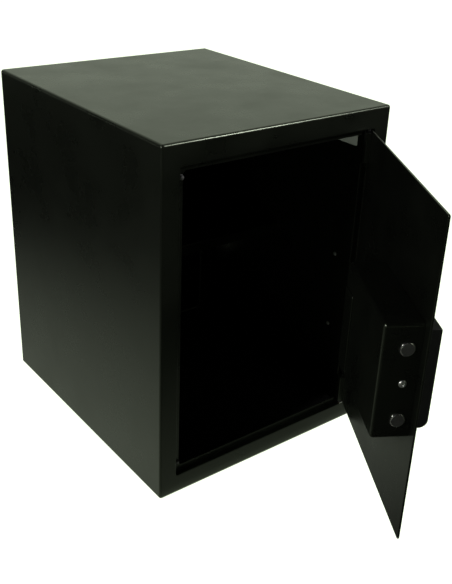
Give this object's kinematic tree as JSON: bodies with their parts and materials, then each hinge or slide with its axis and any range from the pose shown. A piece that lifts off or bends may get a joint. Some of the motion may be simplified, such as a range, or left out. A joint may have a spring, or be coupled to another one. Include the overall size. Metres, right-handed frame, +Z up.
{
  "type": "parcel drop box",
  "caption": "Black steel drop box with a front door, keypad lock with two round bolts, sloping inner baffle and a sprung rear deposit flap.",
  "frame": {"origin": "centre of the cabinet's underside", "axes": "+X to the right seen from the front, +Y from the front to the back, +Z up; the door stands open by 59 degrees"},
  "size_m": [0.377, 0.7232, 0.508],
  "materials": {
    "black_steel": "semi-gloss black powder coat with a fine grain",
    "bright_steel": "turned and polished steel",
    "zinc": "zinc-plated steel",
    "dark_steel": "blackened steel",
    "black_plastic": "fine-textured moulded plastic",
    "grey_rubber": "matt silicone rubber",
    "black_rubber": "matt rubber",
    "felt": "needled felt",
    "bronze": "plain bearing bronze",
    "circuit_green": "solder mask",
    "battery_wrap": "shrink wrap",
    "lens": "smoked clear plastic",
    "pale_paper": "blank vinyl sticker"
  },
  "bodies": {
    "cabinet": {"cabinet_shell": "black_steel", "jamb_frame": "black_steel", "rear_panel": "black_steel", "deposit_collar": "black_steel", "flap_pin": "zinc", "flap_spring": "bright_steel", "baffle_plate": "black_steel", "left_baffle_rail": "black_steel", "right_baffle_rail": "black_steel", "floor_mat": "felt", "upper_hinge_bush": "dark_steel", "lower_hinge_bush": "dark_steel", "upper_bumper": "black_rubber", "lower_bumper": "black_rubber", "upper_side_screw": "zinc", "lower_side_screw": "zinc", "blank_label": "pale_paper"},
    "flap": {"deposit_flap": "black_steel"},
    "door": {"door_panel": "black_steel", "upper_hinge_block": "dark_steel", "lower_hinge_block": "dark_steel", "upper_hinge_pin": "bright_steel", "lower_hinge_pin": "bright_steel", "hinge_spacer": "bronze", "lock_cover": "black_steel", "cover_screw": "zinc", "rear_cover_screw": "zinc", "bolt_guide": "zinc", "rear_bracket": "zinc", "solenoid_body": "dark_steel", "battery_tray": "black_plastic", "battery_1": "battery_wrap", "battery_2": "battery_wrap", "battery_3": "battery_wrap", "battery_4": "battery_wrap", "battery_lid": "black_steel", "keypad_housing": "black_plastic", "circuit_board": "circuit_green", "led_window": "lens", "override_cylinder": "bright_steel"},
    "bolt_work": {"bolt_carriage": "zinc", "lower_bolt": "bright_steel", "upper_bolt": "bright_steel"},
    "knob_drive": {"knob": "black_plastic", "knob_spindle": "zinc", "drive_crank": "dark_steel"},
    "plunger": {"solenoid_plunger": "bright_steel"},
    "override": {"override_plug": "bright_steel"},
    "key_1": {"key_1": "grey_rubber"},
    "key_2": {"key_2": "grey_rubber"},
    "key_3": {"key_3": "grey_rubber"},
    "key_4": {"key_4": "grey_rubber"},
    "key_5": {"key_5": "grey_rubber"},
    "key_6": {"key_6": "grey_rubber"},
    "key_7": {"key_7": "grey_rubber"},
    "key_8": {"key_8": "grey_rubber"},
    "key_9": {"key_9": "grey_rubber"},
    "key_clear": {"key_clear": "grey_rubber"},
    "key_0": {"key_0": "grey_rubber"},
    "key_enter": {"key_enter": "grey_rubber"}
  },
  "joints": [
    {"name": "door_hinge", "type": "hinge", "parent": "cabinet", "child": "door", "pos_m": [0.1553, -0.2126, 0.25], "axis": [0, 0, 1], "range_deg": [-59, 31]},
    {"name": "flap_hinge", "type": "hinge", "parent": "cabinet", "child": "flap", "pos_m": [0, 0.2248, 0.474], "axis": [1, 0, 0], "range_deg": [0, 85], "stiffness_Nm_per_rad": 0.08, "springref_deg": -17.19},
    {"name": "knob_turn", "type": "hinge", "parent": "door", "child": "knob_drive", "pos_m": [0.08052, -0.39376, 0.2542], "axis": [0.8572, -0.515, 0], "range_deg": [0, 90.6]},
    {"name": "bolt_slide", "type": "slide", "parent": "door", "child": "bolt_work", "axis": [-0.515, -0.8572, 0], "range_m": [0, 0.016]},
    {"name": "plunger_slide", "type": "slide", "parent": "door", "child": "plunger", "axis": [0, 0, -1], "range_m": [0, 0.0061]},
    {"name": "override_turn", "type": "hinge", "parent": "door", "child": "override", "pos_m": [0.08052, -0.39376, 0.2042], "axis": [0.8572, -0.515, 0], "range_deg": [0, 90]},
    {"name": "key_1_press", "type": "slide", "parent": "door", "child": "key_1", "axis": [-0.8572, 0.515, 0], "range_m": [0, 0.0012], "stiffness_N_per_m": 800},
    {"name": "key_2_press", "type": "slide", "parent": "door", "child": "key_2", "axis": [-0.8572, 0.515, 0], "range_m": [0, 0.0012], "stiffness_N_per_m": 800},
    {"name": "key_3_press", "type": "slide", "parent": "door", "child": "key_3", "axis": [-0.8572, 0.515, 0], "range_m": [0, 0.0012], "stiffness_N_per_m": 800},
    {"name": "key_4_press", "type": "slide", "parent": "door", "child": "key_4", "axis": [-0.8572, 0.515, 0], "range_m": [0, 0.0012], "stiffness_N_per_m": 800},
    {"name": "key_5_press", "type": "slide", "parent": "door", "child": "key_5", "axis": [-0.8572, 0.515, 0], "range_m": [0, 0.0012], "stiffness_N_per_m": 800},
    {"name": "key_6_press", "type": "slide", "parent": "door", "child": "key_6", "axis": [-0.8572, 0.515, 0], "range_m": [0, 0.0012], "stiffness_N_per_m": 800},
    {"name": "key_7_press", "type": "slide", "parent": "door", "child": "key_7", "axis": [-0.8572, 0.515, 0], "range_m": [0, 0.0012], "stiffness_N_per_m": 800},
    {"name": "key_8_press", "type": "slide", "parent": "door", "child": "key_8", "axis": [-0.8572, 0.515, 0], "range_m": [0, 0.0012], "stiffness_N_per_m": 800},
    {"name": "key_9_press", "type": "slide", "parent": "door", "child": "key_9", "axis": [-0.8572, 0.515, 0], "range_m": [0, 0.0012], "stiffness_N_per_m": 800},
    {"name": "key_clear_press", "type": "slide", "parent": "door", "child": "key_clear", "axis": [-0.8572, 0.515, 0], "range_m": [0, 0.0012], "stiffness_N_per_m": 800},
    {"name": "key_0_press", "type": "slide", "parent": "door", "child": "key_0", "axis": [-0.8572, 0.515, 0], "range_m": [0, 0.0012], "stiffness_N_per_m": 800},
    {"name": "key_enter_press", "type": "slide", "parent": "door", "child": "key_enter", "axis": [-0.8572, 0.515, 0], "range_m": [0, 0.0012], "stiffness_N_per_m": 800}
  ],
  "couplings": [
    {"joint": "knob_turn", "follows": "bolt_slide", "rad_per_m": 98.175},
    {"joint": "plunger_slide", "follows": "bolt_slide", "ratio": 0.375}
  ]
}
